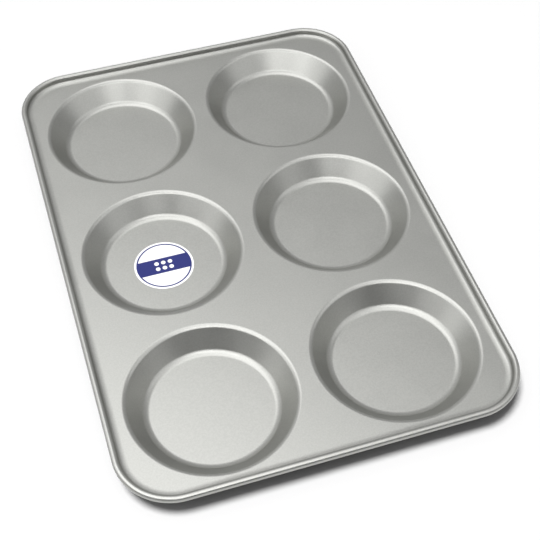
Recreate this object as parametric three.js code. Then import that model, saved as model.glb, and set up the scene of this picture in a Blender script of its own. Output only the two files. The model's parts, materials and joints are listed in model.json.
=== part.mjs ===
// A tray for baking Yorkshire puddings: one sheet-steel pressing with rows of shallow round cups, its edge
// rolled round a wire, and a paper sticker on the floor of one cup.
// Millimetres, +Z up. The tray stands on its cups at Z = 0, with its columns across X and its rows along Y.
import * as THREE from 'three';
import { mergeVertices } from 'three/addons/utils/BufferGeometryUtils.js';

// Sheet
const SHEET_THICKNESS = 0.5;

// Cups
const CUP_COLUMNS = 2;
const CUP_ROWS = 3;
const CUP_MOUTH_DIAMETER = 102.6; // where the lip leaves the level deck
const CUP_DEPTH = 13.15; // from the deck down to the floor
const CUP_WALL_ANGLE = 50; // degrees from level
const CUP_LIP_RADIUS = 3.5;
const CUP_FLOOR_BEND_RADIUS = 6.1;

// Level strips of deck beside the cups
const LAND_BETWEEN_COLUMNS = 10;
const LAND_BETWEEN_ROWS = 10.6;
const LAND_AT_SIDES = 4.1;
const LAND_AT_FRONT = 0.4;
const LAND_AT_BACK = 2.3;

// Border that lifts gently from the deck and then folds upright, and the bead along its top
const BORDER_SWEEP_RADIUS = 14;
const BORDER_SWEEP_ANGLE = 11.5; // degrees that the sheet has lifted where the fold starts
const BORDER_FOLD_RADIUS = 2.2;
const BORDER_WALL_RUN = 0.4; // upright sheet between the fold and the bead
const BEAD_SIDE_RUN = 0.6; // upright sheet down the bead's outer side
const CORNER_RADIUS = 34; // of the bead's outer edge, in plan
const CURL_PAST_BOTTOM = 30; // degrees that the sheet's edge turns up inside the border

// Wire inside the bead
const WIRE_DIAMETER = 2.3;
const WIRE_CLEARANCE = 0.3; // between the wire and the sheet rolled round it

// Sticker
const LABEL_DIAMETER = 38;
const LABEL_THICKNESS = 0.15;
const LABEL_COLUMN = 0;
const LABEL_ROW = 1;
const LABEL_SHIFT_X = -0.5; // from the middle of its cup
const LABEL_SHIFT_Y = -1.7;

// Facets
const CUP_FACETS = 32;
const CUP_BEND_FACETS = 3;
const CORNER_FACETS = 7;
const BORDER_SWEEP_FACETS = 2;
const BORDER_FOLD_FACETS = 4;
const BEAD_TOP_FACETS = 7;
const CURL_FACETS = 5;
const WIRE_FACETS = 10;
const LABEL_FACETS = 48;

// Worked-out sizes
const cupWall = THREE.MathUtils.degToRad(CUP_WALL_ANGLE);
const borderSweep = THREE.MathUtils.degToRad(BORDER_SWEEP_ANGLE);
const upright = Math.PI / 2;
const curlPastBottom = THREE.MathUtils.degToRad(CURL_PAST_BOTTOM);
const floorHeight = SHEET_THICKNESS;
const deckHeight = floorHeight + CUP_DEPTH;
const mouthRadius = CUP_MOUTH_DIAMETER / 2;
const columnPitch = CUP_MOUTH_DIAMETER + LAND_BETWEEN_COLUMNS;
const rowPitch = CUP_MOUTH_DIAMETER + LAND_BETWEEN_ROWS;

const cupBends = CUP_LIP_RADIUS + CUP_FLOOR_BEND_RADIUS;
const cupWallRun = (CUP_DEPTH - cupBends * (1 - Math.cos(cupWall))) / Math.sin(cupWall);
const floorRadius = mouthRadius - cupBends * Math.sin(cupWall) - cupWallRun * Math.cos(cupWall);

const wireRadius = WIRE_DIAMETER / 2;
const beadRadius = wireRadius + WIRE_CLEARANCE + SHEET_THICKNESS;
const beadReach =
  BORDER_SWEEP_RADIUS * Math.sin(borderSweep) +
  BORDER_FOLD_RADIUS * (1 - Math.sin(borderSweep)) +
  beadRadius;
const beadHeight =
  deckHeight +
  BORDER_SWEEP_RADIUS * (1 - Math.cos(borderSweep)) +
  BORDER_FOLD_RADIUS * Math.cos(borderSweep) +
  BORDER_WALL_RUN;

const deckHalfWidth = ((CUP_COLUMNS - 1) * columnPitch) / 2 + mouthRadius + LAND_AT_SIDES;
const deckLength = (CUP_ROWS - 1) * rowPitch + CUP_MOUTH_DIAMETER + LAND_AT_FRONT + LAND_AT_BACK;
const deckHalfLength = deckLength / 2;
const middleRowShift = (LAND_AT_FRONT - LAND_AT_BACK) / 2;
const deckCornerRadius = CORNER_RADIUS - beadReach - beadRadius;

// The middle of a cup in plan.
function cupCentre(column, row) {
  return new THREE.Vector2(
    (column - (CUP_COLUMNS - 1) / 2) * columnPitch,
    (row - (CUP_ROWS - 1) / 2) * rowPitch + middleRowShift,
  );
}

// The line of a sheet's upper side through its straight runs and bends, setting out level and outwards.
// Each mark has a point of the line and the sheet's normal there, which points to the line's left.
function bendLine(start, runs) {
  const marks = [];
  const point = start.clone();
  let heading = 0;
  const normal = () => new THREE.Vector2(-Math.sin(heading), Math.cos(heading));
  const mark = () => marks.push({ point: point.clone(), normal: normal() });
  mark();
  for (const { length, radius, turn, facets } of runs) {
    if (length !== undefined) {
      point.x += length * Math.cos(heading);
      point.y += length * Math.sin(heading);
      mark();
      continue;
    }
    const offset = Math.sign(turn) * radius;
    const centre = point.clone().addScaledVector(normal(), offset);
    for (let facet = 0; facet < facets; facet += 1) {
      heading += turn / facets;
      point.copy(centre).addScaledVector(normal(), -offset);
      mark();
    }
  }
  return marks;
}

// The points of a bent sheet's upper side, outwards.
function upperSide(marks) {
  return marks.map(({ point }) => point);
}

// The points of a bent sheet's lower side, back inwards.
function lowerSide(marks) {
  return marks.map(({ point, normal }) => point.clone().addScaledVector(normal, -SHEET_THICKNESS)).reverse();
}

// A level loop round a cup's axis, counter-clockwise from above, at a profile point's radius and height.
function cupLoop(centre, { x: radius, y: height }) {
  return Array.from({ length: CUP_FACETS }, (_, facet) => {
    const angle = (facet / CUP_FACETS) * 2 * Math.PI;
    return new THREE.Vector3(
      centre.x + radius * Math.cos(angle),
      centre.y + radius * Math.sin(angle),
      height,
    );
  });
}

// A level loop round the tray, counter-clockwise from above, at a profile point's reach out from the deck's
// edge and its height.
function trayLoop({ x: reach, y: height }) {
  const loop = [];
  for (const [quarter, signX, signY] of [[0, 1, 1], [1, -1, 1], [2, -1, -1], [3, 1, -1]]) {
    for (let facet = 0; facet <= CORNER_FACETS; facet += 1) {
      const angle = (quarter + facet / CORNER_FACETS) * (Math.PI / 2);
      const radius = deckCornerRadius + reach;
      loop.push(
        new THREE.Vector3(
          signX * (deckHalfWidth - deckCornerRadius) + radius * Math.cos(angle),
          signY * (deckHalfLength - deckCornerRadius) + radius * Math.sin(angle),
          height,
        ),
      );
    }
  }
  return loop;
}

// Triangles of the bands between one loop and the next, facing left of the way from loop to loop.
function bands(loops) {
  return loops.slice(1).flatMap((outer, k) => {
    const inner = loops[k];
    return inner.flatMap((point, i) => {
      const next = (i + 1) % inner.length;
      return [point, outer[i], outer[next], point, outer[next], inner[next]];
    });
  });
}

// Triangles that fill a level loop around its holes, facing up.
function levelFace(outline, holes = []) {
  const points = [outline, ...holes].flat();
  const faces = THREE.ShapeUtils.triangulateShape(outline, holes);
  return faces.flatMap((face) => face.map((corner) => points[corner]));
}

// The same triangles facing the other way.
function turnedOver(triangles) {
  return [...triangles].reverse();
}

// One body from the triangles of its whole surface.
function body(triangles) {
  const geometry = mergeVertices(new THREE.BufferGeometry().setFromPoints(triangles));
  geometry.computeVertexNormals();
  return geometry;
}

// The pressing: deck, cups, border and rolled edge, the same thickness all over.
function trayPressingGeometry() {
  const cupMarks = bendLine(new THREE.Vector2(floorRadius, floorHeight), [
    { radius: CUP_FLOOR_BEND_RADIUS, turn: cupWall, facets: CUP_BEND_FACETS },
    { length: cupWallRun },
    { radius: CUP_LIP_RADIUS, turn: -cupWall, facets: CUP_BEND_FACETS },
  ]);
  const borderMarks = bendLine(new THREE.Vector2(0, deckHeight), [
    { radius: BORDER_SWEEP_RADIUS, turn: borderSweep, facets: BORDER_SWEEP_FACETS },
    { radius: BORDER_FOLD_RADIUS, turn: upright - borderSweep, facets: BORDER_FOLD_FACETS },
    { length: BORDER_WALL_RUN },
    { radius: beadRadius, turn: -2 * upright, facets: BEAD_TOP_FACETS },
    { length: BEAD_SIDE_RUN },
    { radius: beadRadius, turn: -(upright + curlPastBottom), facets: CURL_FACETS },
  ]);

  const triangles = [];
  const upperMouths = [];
  const lowerMouths = [];
  for (let column = 0; column < CUP_COLUMNS; column += 1) {
    for (let row = 0; row < CUP_ROWS; row += 1) {
      const centre = cupCentre(column, row);
      const upper = upperSide(cupMarks).map((point) => cupLoop(centre, point));
      const lower = lowerSide(cupMarks).map((point) => cupLoop(centre, point));
      triangles.push(...bands(upper), ...bands(lower));
      triangles.push(...levelFace(upper.at(0)), ...turnedOver(levelFace(lower.at(-1))));
      upperMouths.push(upper.at(-1));
      lowerMouths.push(lower.at(0));
    }
  }

  const border = [...upperSide(borderMarks), ...lowerSide(borderMarks)].map(trayLoop);
  triangles.push(...bands(border));
  triangles.push(...levelFace(border.at(0), upperMouths));
  triangles.push(...turnedOver(levelFace(border.at(-1), lowerMouths)));
  return body(triangles);
}

// The wire: a closed hoop along the middle of the bead.
function rimWireGeometry() {
  const loops = [];
  for (let facet = 0; facet <= WIRE_FACETS; facet += 1) {
    const angle = (-facet / WIRE_FACETS) * 2 * Math.PI;
    const point = new THREE.Vector2(beadReach, beadHeight);
    point.x += wireRadius * Math.cos(angle);
    point.y += wireRadius * Math.sin(angle);
    loops.push(trayLoop(point));
  }
  return body(bands(loops));
}

// The sticker: a paper disc lying on a cup's floor.
function labelGeometry() {
  const radius = LABEL_DIAMETER / 2;
  return new THREE.CylinderGeometry(radius, radius, LABEL_THICKNESS, LABEL_FACETS).rotateX(Math.PI / 2);
}

function namedMesh(name, geometry, look) {
  const mesh = new THREE.Mesh(geometry, new THREE.MeshStandardMaterial(look));
  mesh.name = name;
  return mesh;
}

const tray = new THREE.Group();

tray.add(
  namedMesh('tray_pressing', trayPressingGeometry(), { color: 0xa7a8a4, roughness: 0.42, metalness: 0.85 }),
);
tray.add(
  namedMesh('rim_wire', rimWireGeometry(), { color: 0x8f9294, roughness: 0.35, metalness: 1 }),
);

const label = namedMesh('label', labelGeometry(), { color: 0xf2f3f5, roughness: 0.7, metalness: 0 });
const labelCup = cupCentre(LABEL_COLUMN, LABEL_ROW);
label.position.set(
  labelCup.x + LABEL_SHIFT_X,
  labelCup.y + LABEL_SHIFT_Y,
  floorHeight + LABEL_THICKNESS / 2,
);
tray.add(label);

export default tray;
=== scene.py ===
# A tray for baking Yorkshire puddings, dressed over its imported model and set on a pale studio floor.
# Metres and degrees, +Z up. The tray stands on its cups at Z = 0.
import json
import math
from collections import namedtuple

import bpy
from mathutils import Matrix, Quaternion, Vector
from mathutils.geometry import tessellate_polygon


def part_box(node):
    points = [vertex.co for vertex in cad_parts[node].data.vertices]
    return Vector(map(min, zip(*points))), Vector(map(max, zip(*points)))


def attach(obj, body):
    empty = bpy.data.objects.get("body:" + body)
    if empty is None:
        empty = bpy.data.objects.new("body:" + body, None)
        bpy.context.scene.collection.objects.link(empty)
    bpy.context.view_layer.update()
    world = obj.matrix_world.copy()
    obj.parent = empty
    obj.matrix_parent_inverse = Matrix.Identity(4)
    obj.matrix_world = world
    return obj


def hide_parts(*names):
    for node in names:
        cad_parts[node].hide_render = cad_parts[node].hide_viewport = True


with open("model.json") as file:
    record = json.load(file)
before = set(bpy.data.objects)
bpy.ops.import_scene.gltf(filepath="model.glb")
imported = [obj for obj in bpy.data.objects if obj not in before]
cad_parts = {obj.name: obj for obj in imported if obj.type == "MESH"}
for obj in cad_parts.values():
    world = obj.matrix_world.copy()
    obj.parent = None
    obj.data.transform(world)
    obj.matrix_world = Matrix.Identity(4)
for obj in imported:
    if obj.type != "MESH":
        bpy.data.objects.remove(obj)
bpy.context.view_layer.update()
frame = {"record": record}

MM = 0.001

# Sheet
SHEET_THICKNESS = 0.5 * MM

# Cups
CUP_MOUTH_RADIUS = 51.5 * MM
CUP_DEPTH = 13.15 * MM
CUP_WALL_ANGLE = math.radians(50.5)
CUP_LIP_RADIUS = 3.7 * MM
CUP_FLOOR_BEND_RADIUS = 5.7 * MM

# Border and rolled edge
BORDER_SWEEP_RADIUS = 14 * MM
BORDER_SWEEP_ANGLE = math.radians(11.5)
BORDER_FOLD_RADIUS = 2.2 * MM
BORDER_WALL_RUN = 0.4 * MM
BEAD_SIDE_RUN = 0.6 * MM
CORNER_RADIUS = 34 * MM
CURL_PAST_BOTTOM = math.radians(30)

# Wire inside the rolled edge
WIRE_RADIUS = 1.15 * MM
WIRE_CLEARANCE = 0.3 * MM

# Sticker
LABEL_EDGE_ROUND = 0.05 * MM
LABEL_RING_RADIUS = 17.2 * MM
LABEL_RING_WIDTH = 1.0 * MM
LABEL_BAND_WIDTH = 12 * MM
LABEL_DOT_PITCH = 4.4 * MM
LABEL_DOT_RADIUS = 1.45 * MM
LABEL_DOTS_REACH = 7 * MM
PRINT_SOFTNESS = 0.08 * MM

# Looks of the coating. Shades are shares of its colour.
COATING_COLOUR = (0.398, 0.4, 0.382)
COATING_ROUGHNESS = 0.363
COATING_ROUGHNESS_RANGE = 0.012
COATING_GRAIN = 0.9 * MM
COATING_GRAIN_SHADE = 0.055
COATING_CLOUD = 24 * MM
COATING_CLOUD_SHADE = 0.012
COATING_SPECK_SPACING = 4 * MM
COATING_SPECK_RADIUS = 0.4 * MM
COATING_SPECK_SHADE = 0.06
COATING_BUMP = 0.001 * MM

# Looks of the wire
WIRE_COLOUR = (0.5, 0.51, 0.52)
WIRE_ROUGHNESS = 0.25
WIRE_ROUGHNESS_RANGE = 0.15
WIRE_GRAIN = 0.3 * MM
WIRE_MOTTLE = 3 * MM
WIRE_MOTTLE_LOW = 0.9
WIRE_MOTTLE_HIGH = 1.1
WIRE_BUMP = 0.01 * MM

# Looks of the sticker
PAPER_COLOUR = (0.93, 0.93, 0.94)
PAPER_SHADE_LOW = 0.97
PAPER_SHADE_RANGE = 0.03
INK_COLOUR = (0.022, 0.028, 0.15)
INK_SHADE_LOW = 0.92
INK_SHADE_RANGE = 0.16
PAPER_ROUGHNESS = 0.42
PAPER_ROUGHNESS_RANGE = 0.12
PAPER_SHINE = 0.2
PAPER_GRAIN = 0.4 * MM
PAPER_BUMP = 0.01 * MM

# Noise in these looks, with the part of its range that is spread out, and the full-strength share of a speck
NOISE_DETAIL = 2
NOISE_START = 0.25
NOISE_END = 0.75
SPECK_CORE = 0.5

# Fineness of the meshes
CUP_STEPS = 144
CUP_BEND_STEPS = 12
CORNER_STEPS = 24
BORDER_SWEEP_STEPS = 6
BORDER_FOLD_STEPS = 14
BEAD_TOP_STEPS = 24
CURL_STEPS = 16
WIRE_STEPS = 24
LABEL_STEPS = 128

# Camera
CAMERA_PLACE = Vector((-0.13169, -0.44988, 0.55888))
CAMERA_AIM = Vector((0.00321, -0.03651, 0.01365))
CAMERA_ROLL = math.radians(0.565)
CAMERA_LENS = 74.87
CAMERA_SENSOR = 36

# Round softboxes that face the tray. Compass degrees run clockwise from +Y, height is in degrees above the
# horizon, and distance and radius are in metres.
Softbox = namedtuple("Softbox", "compass height distance radius brightness")
SOFTBOXES = (
    Softbox(-41, 75.5, 5.26, 2.64, 2.03),
    Softbox(-122.5, 46.2, 1.27, 0.4, 2.36),
    Softbox(-85.5, 33, 0.83, 0.32, 1.37),
    Softbox(-170.3, 52.7, 0.97, 0.3, 2.9),
    Softbox(124.6, 48.4, 1.79, 1.06, 1.04),
)

# Broad glows of the surround, with the spread in degrees out to where a glow has faded to six tenths
Glow = namedtuple("Glow", "compass height spread brightness")
GLOWS = (
    Glow(-29, 38, 35, 0.85),
    Glow(67, 1.3, 41, 0.46),
)

# Lamp over the floor, kept off the tray
FLOOR_LAMP_COMPASS = -102
FLOOR_LAMP_HEIGHT = 77
FLOOR_LAMP_WIDTH = math.radians(18)
FLOOR_LAMP_STRENGTH = 19

# Floor
FLOOR_COLOUR = (0.14, 0.14, 0.14, 1)
FLOOR_ROUGHNESS = 0.9
FLOOR_SIZE = 30

# Worked-out sizes
_, pressing_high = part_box("tray_pressing")
label_low, label_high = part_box("label")
cup_centres = [Vector(mount["pos_m"]) for mount in frame["record"]["mounts"]]
floor_height = SHEET_THICKNESS
deck_height = floor_height + CUP_DEPTH
cup_bends = CUP_LIP_RADIUS + CUP_FLOOR_BEND_RADIUS
cup_wall_run = (CUP_DEPTH - cup_bends * (1 - math.cos(CUP_WALL_ANGLE))) / math.sin(CUP_WALL_ANGLE)
cup_wall_reach = cup_bends * math.sin(CUP_WALL_ANGLE) + cup_wall_run * math.cos(CUP_WALL_ANGLE)
floor_radius = CUP_MOUTH_RADIUS - cup_wall_reach
bead_radius = WIRE_RADIUS + WIRE_CLEARANCE + SHEET_THICKNESS
bead_reach = (
    BORDER_SWEEP_RADIUS * math.sin(BORDER_SWEEP_ANGLE)
    + BORDER_FOLD_RADIUS * (1 - math.sin(BORDER_SWEEP_ANGLE))
    + bead_radius
)
bead_height = (
    deck_height
    + BORDER_SWEEP_RADIUS * (1 - math.cos(BORDER_SWEEP_ANGLE))
    + BORDER_FOLD_RADIUS * math.cos(BORDER_SWEEP_ANGLE)
    + BORDER_WALL_RUN
)
upright = math.pi / 2
deck_half_width = pressing_high.x - bead_reach - bead_radius
deck_half_length = pressing_high.y - bead_reach - bead_radius
deck_corner_radius = CORNER_RADIUS - bead_reach - bead_radius


class SheetLine:
    """The upper side of a bent sheet in section, drawn outwards from a level start."""

    def __init__(self, reach, height):
        self.reach = reach
        self.height = height
        self.heading = 0.0
        self.marks = []
        self.mark()

    def mark(self):
        """Keeps the point reached, with the sheet's normal there."""
        self.marks.append((self.reach, self.height, -math.sin(self.heading), math.cos(self.heading)))

    def straight(self, length):
        self.reach += length * math.cos(self.heading)
        self.height += length * math.sin(self.heading)
        self.mark()

    def bend(self, radius, turn, steps):
        side = math.copysign(radius, turn)
        for _ in range(steps):
            before = self.heading
            self.heading += turn / steps
            self.reach += side * (math.sin(self.heading) - math.sin(before))
            self.height -= side * (math.cos(self.heading) - math.cos(before))
            self.mark()

    def lower_side(self):
        """The marks of the sheet's other side, from the outer end back to the start."""
        return [
            (reach - out * SHEET_THICKNESS, height - up * SHEET_THICKNESS, -out, -up)
            for reach, height, out, up in reversed(self.marks)
        ]


class Skin:
    """Points with their exact normals, and the faces between them."""

    def __init__(self):
        self.points = []
        self.normals = []
        self.faces = []

    def loop(self, places):
        """Adds a ring of points with normals, and returns their numbers."""
        first = len(self.points)
        for point, normal in places:
            self.points.append(point)
            self.normals.append(normal)
        return list(range(first, len(self.points)))

    def bands(self, loops):
        """Faces between each loop and the next, facing left of the way from loop to loop."""
        for inner, outer in zip(loops, loops[1:]):
            count = len(inner)
            for i in range(count):
                after = (i + 1) % count
                self.faces.append((inner[i], outer[i], outer[after], inner[after]))

    def level_face(self, outline, holes=(), facing_up=True):
        """Triangles that fill a level loop around its holes."""
        loops = [outline, *holes]
        numbers = [number for loop in loops for number in loop]
        for corners in tessellate_polygon([[self.points[number] for number in loop] for loop in loops]):
            triangle = [numbers[corner] for corner in corners]
            a, b, c = (self.points[number] for number in triangle)
            if ((b - a).cross(c - a).z > 0) != facing_up:
                triangle.reverse()
            self.faces.append(tuple(triangle))

    def piece(self, name, material):
        mesh = bpy.data.meshes.new(name)
        mesh.from_pydata(self.points, [], self.faces)
        mesh.materials.append(material)
        mesh.normals_split_custom_set_from_vertices(self.normals)
        made = bpy.data.objects.new(name, mesh)
        bpy.context.scene.collection.objects.link(made)
        return made


def cup_loop(centre, steps, mark):
    """A ring round an upright axis at a section mark, counter-clockwise from above."""
    reach, height, out, up = mark
    places = []
    for step in range(steps):
        angle = 2 * math.pi * step / steps
        outward = Vector((math.cos(angle), math.sin(angle), 0))
        point = Vector((centre.x, centre.y, height)) + outward * reach
        places.append((point, outward * out + Vector((0, 0, up))))
    return places


def tray_loop(mark):
    """A ring round the tray at a section mark outside the deck's edge, counter-clockwise from above."""
    reach, height, out, up = mark
    places = []
    for quarter, (side_x, side_y) in enumerate(((1, 1), (-1, 1), (-1, -1), (1, -1))):
        corner = Vector((
            side_x * (deck_half_width - deck_corner_radius),
            side_y * (deck_half_length - deck_corner_radius),
            height,
        ))
        for step in range(CORNER_STEPS + 1):
            angle = (quarter + step / CORNER_STEPS) * math.pi / 2
            outward = Vector((math.cos(angle), math.sin(angle), 0))
            point = corner + outward * (deck_corner_radius + reach)
            places.append((point, outward * out + Vector((0, 0, up))))
    return places


def tray_pressing(material):
    """Deck, cups, border and rolled edge, all one sheet."""
    cup_line = SheetLine(floor_radius, floor_height)
    cup_line.bend(CUP_FLOOR_BEND_RADIUS, CUP_WALL_ANGLE, CUP_BEND_STEPS)
    cup_line.straight(cup_wall_run)
    cup_line.bend(CUP_LIP_RADIUS, -CUP_WALL_ANGLE, CUP_BEND_STEPS)

    border_line = SheetLine(0, deck_height)
    border_line.bend(BORDER_SWEEP_RADIUS, BORDER_SWEEP_ANGLE, BORDER_SWEEP_STEPS)
    border_line.bend(BORDER_FOLD_RADIUS, upright - BORDER_SWEEP_ANGLE, BORDER_FOLD_STEPS)
    border_line.straight(BORDER_WALL_RUN)
    border_line.bend(bead_radius, -2 * upright, BEAD_TOP_STEPS)
    border_line.straight(BEAD_SIDE_RUN)
    border_line.bend(bead_radius, -(upright + CURL_PAST_BOTTOM), CURL_STEPS)

    skin = Skin()
    upper_mouths = []
    lower_mouths = []
    for centre in cup_centres:
        upper = [skin.loop(cup_loop(centre, CUP_STEPS, mark)) for mark in cup_line.marks]
        lower = [skin.loop(cup_loop(centre, CUP_STEPS, mark)) for mark in cup_line.lower_side()]
        skin.bands(upper)
        skin.bands(lower)
        skin.level_face(upper[0])
        skin.level_face(lower[-1], facing_up=False)
        upper_mouths.append(upper[-1])
        lower_mouths.append(lower[0])

    border = [skin.loop(tray_loop(mark)) for mark in border_line.marks + border_line.lower_side()]
    skin.bands(border)
    skin.level_face(border[0], upper_mouths)
    skin.level_face(border[-1], lower_mouths, facing_up=False)
    return skin.piece("pressing", material)


def rim_wire(material):
    """The hoop of wire along the middle of the rolled edge."""
    skin = Skin()
    loops = []
    for step in range(WIRE_STEPS):
        angle = -2 * math.pi * step / WIRE_STEPS
        out, up = math.cos(angle), math.sin(angle)
        mark = (bead_reach + WIRE_RADIUS * out, bead_height + WIRE_RADIUS * up, out, up)
        loops.append(skin.loop(tray_loop(mark)))
    skin.bands(loops + loops[:1])
    return skin.piece("wire_hoop", material)


def label(material):
    """The paper sticker, a thin disc with a soft edge."""
    centre = (label_low + label_high) / 2
    radius = (label_high.x - label_low.x) / 2
    slant = math.cos(math.pi / 4)
    inner = radius - LABEL_EDGE_ROUND
    marks = (
        (radius, label_low.z, 1, 0),
        (radius, label_high.z - LABEL_EDGE_ROUND, 1, 0),
        (inner + LABEL_EDGE_ROUND * slant, label_high.z - LABEL_EDGE_ROUND * (1 - slant), slant, slant),
        (inner, label_high.z, 0, 1),
    )
    skin = Skin()
    loops = [skin.loop(cup_loop(centre, LABEL_STEPS, mark)) for mark in marks]
    base = skin.loop(cup_loop(centre, LABEL_STEPS, (radius, label_low.z, 0, -1)))
    skin.bands(loops[::-1])
    skin.level_face(loops[-1])
    skin.level_face(base, facing_up=False)
    return skin.piece("sticker", material)


class Nodes:
    """A node tree under construction."""

    def __init__(self, tree):
        self.tree = tree

    def add(self, kind, inputs=None, **settings):
        """Adds a node. An input's value is a number, a colour or another node's output."""
        node = self.tree.nodes.new(kind)
        for name, value in settings.items():
            setattr(node, name, value)
        for key, value in (inputs or {}).items():
            self.feed(node.inputs[key], value)
        return node

    def feed(self, socket, value):
        if isinstance(value, bpy.types.NodeSocket):
            self.tree.links.new(value, socket)
        else:
            socket.default_value = value

    def math(self, operation, *values):
        return self.add("ShaderNodeMath", dict(enumerate(values)), operation=operation).outputs[0]

    def ramp(self, value, start, end, low, high):
        """A smooth rise from low to high as the value goes from start to end."""
        inputs = {"Value": value, "From Min": start, "From Max": end, "To Min": low, "To Max": high}
        return self.add("ShaderNodeMapRange", inputs, interpolation_type="SMOOTHSTEP").outputs["Result"]


class Surface(Nodes):
    """A material around one Principled shader."""

    def __init__(self, name):
        self.material = bpy.data.materials.new(name)
        self.material.use_nodes = True
        super().__init__(self.material.node_tree)
        self.shader = self.tree.nodes["Principled BSDF"]
        self.place = self.add("ShaderNodeTexCoord").outputs["Object"]

    def noise(self, grain, low, high):
        """Smooth noise with features of about the given size, from low to high."""
        inputs = {"Vector": self.place, "Scale": 1 / grain, "Detail": NOISE_DETAIL}
        value = self.add("ShaderNodeTexNoise", inputs).outputs["Fac"]
        return self.ramp(value, NOISE_START, NOISE_END, low, high)

    def specks(self, spacing, radius):
        """A mask of sparse round specks."""
        inputs = {"Vector": self.place, "Scale": 1 / spacing}
        distance = self.add("ShaderNodeTexVoronoi", inputs).outputs["Distance"]
        return self.ramp(distance, SPECK_CORE * radius / spacing, radius / spacing, 1.0, 0.0)

    def length(self, across, along):
        """The length of a line from its two sides at right angles."""
        squares = self.math("MULTIPLY_ADD", across, across, self.math("MULTIPLY", along, along))
        return self.math("SQRT", squares)

    def tint(self, colour, share):
        """A colour scaled by a share that varies over the surface."""
        return self.add("ShaderNodeVectorMath", {0: colour, 1: share}, operation="MULTIPLY").outputs[0]

    def bump(self, height, distance):
        normal = self.add("ShaderNodeBump", {"Height": height, "Distance": distance}).outputs["Normal"]
        self.feed(self.shader.inputs["Normal"], normal)

    def set(self, **values):
        for name, value in values.items():
            self.feed(self.shader.inputs[name.replace("_", " ")], value)


def satin_coating():
    """Silver-grey metallic non-stick coating with a fine grain, slight clouding and a few specks."""
    surface = Surface("satin_coating")
    grain = surface.noise(COATING_GRAIN, -1.0, 1.0)
    clouding = surface.noise(COATING_CLOUD, -1.0, 1.0)
    specks = surface.specks(COATING_SPECK_SPACING, COATING_SPECK_RADIUS)
    shade = surface.math("MULTIPLY_ADD", grain, COATING_GRAIN_SHADE, 1.0)
    shade = surface.math("MULTIPLY_ADD", clouding, COATING_CLOUD_SHADE, shade)
    shade = surface.math("MULTIPLY_ADD", specks, COATING_SPECK_SHADE, shade)
    roughness = surface.math("MULTIPLY_ADD", grain, COATING_ROUGHNESS_RANGE, COATING_ROUGHNESS)
    roughness = surface.math("MULTIPLY_ADD", clouding, COATING_ROUGHNESS_RANGE, roughness)
    surface.set(Base_Color=surface.tint(COATING_COLOUR, shade), Metallic=1.0, Roughness=roughness)
    surface.bump(grain, COATING_BUMP)
    return surface.material


def drawn_wire():
    """Bright drawn steel wire."""
    surface = Surface("drawn_wire")
    grain = surface.noise(WIRE_GRAIN, 0.0, 1.0)
    shade = surface.noise(WIRE_MOTTLE, WIRE_MOTTLE_LOW, WIRE_MOTTLE_HIGH)
    roughness = surface.math("MULTIPLY_ADD", grain, WIRE_ROUGHNESS_RANGE, WIRE_ROUGHNESS)
    surface.set(Base_Color=surface.tint(WIRE_COLOUR, shade), Metallic=1.0, Roughness=roughness)
    surface.bump(grain, WIRE_BUMP)
    return surface.material


def printed_paper():
    """White sticker paper, printed with a ring and a band that has rows of dots left white."""
    surface = Surface("printed_paper")
    middle = (label_low + label_high) / 2
    offset = surface.add("ShaderNodeVectorMath", {0: surface.place, 1: middle}, operation="SUBTRACT")
    along, across, _ = surface.add("ShaderNodeSeparateXYZ", {0: offset.outputs[0]}).outputs
    radius = surface.length(along, across)

    def inside(distance, limit):
        """A mask of what is nearer than a limit."""
        return surface.ramp(distance, limit - PRINT_SOFTNESS, limit + PRINT_SOFTNESS, 1.0, 0.0)

    off_ring = surface.math("ABSOLUTE", surface.math("SUBTRACT", radius, LABEL_RING_RADIUS))
    ring = inside(off_ring, LABEL_RING_WIDTH / 2)
    band = inside(surface.math("ABSOLUTE", across), LABEL_BAND_WIDTH / 2)
    band = surface.math("MULTIPLY", band, inside(radius, LABEL_RING_RADIUS))
    to_column = surface.math("PINGPONG", along, LABEL_DOT_PITCH / 2)
    to_row = surface.math("SUBTRACT", surface.math("ABSOLUTE", across), LABEL_DOT_PITCH / 2)
    to_dot = surface.length(to_column, to_row)
    dots = surface.math("MULTIPLY", inside(to_dot, LABEL_DOT_RADIUS), inside(radius, LABEL_DOTS_REACH))
    ink = surface.math("MAXIMUM", ring, surface.math("SUBTRACT", band, dots))

    grain = surface.noise(PAPER_GRAIN, 0.0, 1.0)
    paper_shade = surface.math("MULTIPLY_ADD", grain, PAPER_SHADE_RANGE, PAPER_SHADE_LOW)
    ink_shade = surface.math("MULTIPLY_ADD", grain, INK_SHADE_RANGE, INK_SHADE_LOW)
    paper = surface.tint(PAPER_COLOUR, paper_shade)
    print_colour = surface.tint(INK_COLOUR, ink_shade)
    mixed = surface.add("ShaderNodeMix", {"Factor": ink, "A": paper, "B": print_colour}, data_type="VECTOR")
    roughness = surface.math("MULTIPLY_ADD", grain, PAPER_ROUGHNESS_RANGE, PAPER_ROUGHNESS)
    surface.set(Base_Color=mixed.outputs["Result"], Roughness=roughness, Specular_IOR_Level=PAPER_SHINE)
    surface.bump(grain, PAPER_BUMP)
    return surface.material


def compass_direction(compass, height):
    """The direction towards a place in the surround."""
    bearing = math.radians(compass)
    rise = math.radians(height)
    return Vector((math.cos(rise) * math.sin(bearing), math.cos(rise) * math.cos(bearing), math.sin(rise)))


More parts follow.
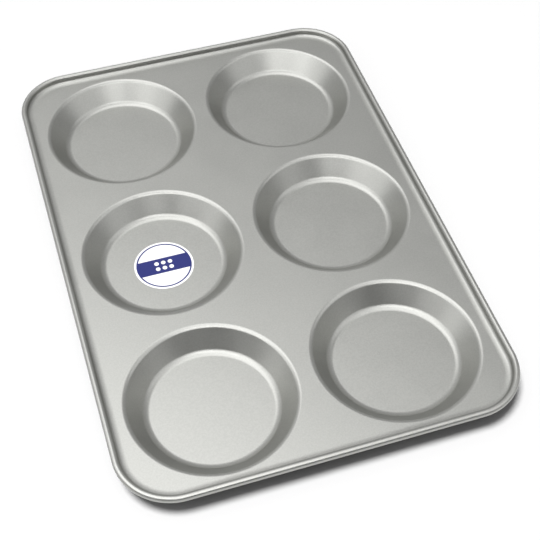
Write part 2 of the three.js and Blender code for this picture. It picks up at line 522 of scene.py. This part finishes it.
def soft_surround():
    """The broad glows, added up over the whole surround."""
    world = bpy.data.worlds.new("soft_surround")
    world.use_nodes = True
    nodes = Nodes(world.node_tree)
    direction = nodes.add("ShaderNodeTexCoord").outputs["Generated"]
    total = 0.0
    for glow in GLOWS:
        aim = compass_direction(glow.compass, glow.height)
        facing = nodes.add("ShaderNodeVectorMath", {0: direction, 1: aim}, operation="DOT_PRODUCT")
        away = nodes.math("SUBTRACT", facing.outputs["Value"], 1.0)
        away = nodes.math("DIVIDE", away, math.radians(glow.spread) ** 2)
        total = nodes.math("MULTIPLY_ADD", nodes.math("EXPONENT", away), glow.brightness, total)
    nodes.feed(world.node_tree.nodes["Background"].inputs["Strength"], total)
    nodes.feed(world.node_tree.nodes["Background"].inputs["Color"], (1, 1, 1, 1))
    bpy.context.scene.world = world


def studio_floor():
    """A plain level floor, which renders white under its lamp."""
    surface = Surface("studio_floor")
    surface.set(Base_Color=FLOOR_COLOUR, Roughness=FLOOR_ROUGHNESS, Specular_IOR_Level=0.0)
    half = FLOOR_SIZE / 2
    mesh = bpy.data.meshes.new("studio_floor")
    corners = [(-half, -half, 0), (half, -half, 0), (half, half, 0), (-half, half, 0)]
    mesh.from_pydata(corners, [], [(0, 1, 2, 3)])
    mesh.materials.append(surface.material)
    floor = bpy.data.objects.new("studio_floor", mesh)
    bpy.context.scene.collection.objects.link(floor)
    return floor


def aimed_lamp(name, kind, compass, height):
    """A lamp that shines from a place in the surround towards the tray."""
    lamp = bpy.data.lights.new(name, kind)
    holder = bpy.data.objects.new(name, lamp)
    bpy.context.scene.collection.objects.link(holder)
    holder.rotation_mode = "QUATERNION"
    holder.rotation_quaternion = compass_direction(compass, height).to_track_quat("Z", "Y")
    return holder


def softbox(light):
    """A round lamp of even brightness, kept out of the camera's sight."""
    holder = aimed_lamp("softbox", "AREA", light.compass, light.height)
    holder.location = compass_direction(light.compass, light.height) * light.distance
    holder.visible_camera = False
    holder.data.shape = "DISK"
    holder.data.size = 2 * light.radius
    # The power is the brightness times pi times the disc's area
    holder.data.energy = light.brightness * (math.pi * light.radius) ** 2


def floor_lamp(floor):
    """A lamp that whitens the floor alone, so that the tray's shadow stays dark."""
    holder = aimed_lamp("floor_lamp", "SUN", FLOOR_LAMP_COMPASS, FLOOR_LAMP_HEIGHT)
    holder.data.energy = FLOOR_LAMP_STRENGTH
    holder.data.angle = FLOOR_LAMP_WIDTH
    lit = bpy.data.collections.new("lit_by_floor_lamp")
    lit.objects.link(floor)
    holder.light_linking.receiver_collection = lit


def studio_camera():
    """The camera from the photo's side."""
    lens = bpy.data.cameras.new("camera")
    lens.lens = CAMERA_LENS
    lens.sensor_width = CAMERA_SENSOR
    camera = bpy.data.objects.new("camera", lens)
    bpy.context.scene.collection.objects.link(camera)
    level = (CAMERA_AIM - CAMERA_PLACE).to_track_quat("-Z", "Y")
    camera.rotation_mode = "QUATERNION"
    camera.rotation_quaternion = level @ Quaternion((0, 0, 1), CAMERA_ROLL)
    camera.location = CAMERA_PLACE
    bpy.context.scene.camera = camera


studio_camera()
soft_surround()
for light in SOFTBOXES:
    softbox(light)
floor_lamp(studio_floor())
bpy.context.scene.view_settings.view_transform = "Standard"

for piece, node, slot in (
    (tray_pressing(satin_coating()), "tray_pressing", "coated_steel"),
    (rim_wire(drawn_wire()), "rim_wire", "wire"),
    (label(printed_paper()), "label", "label_paper"),
):
    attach(piece, "root")
    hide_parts(node)
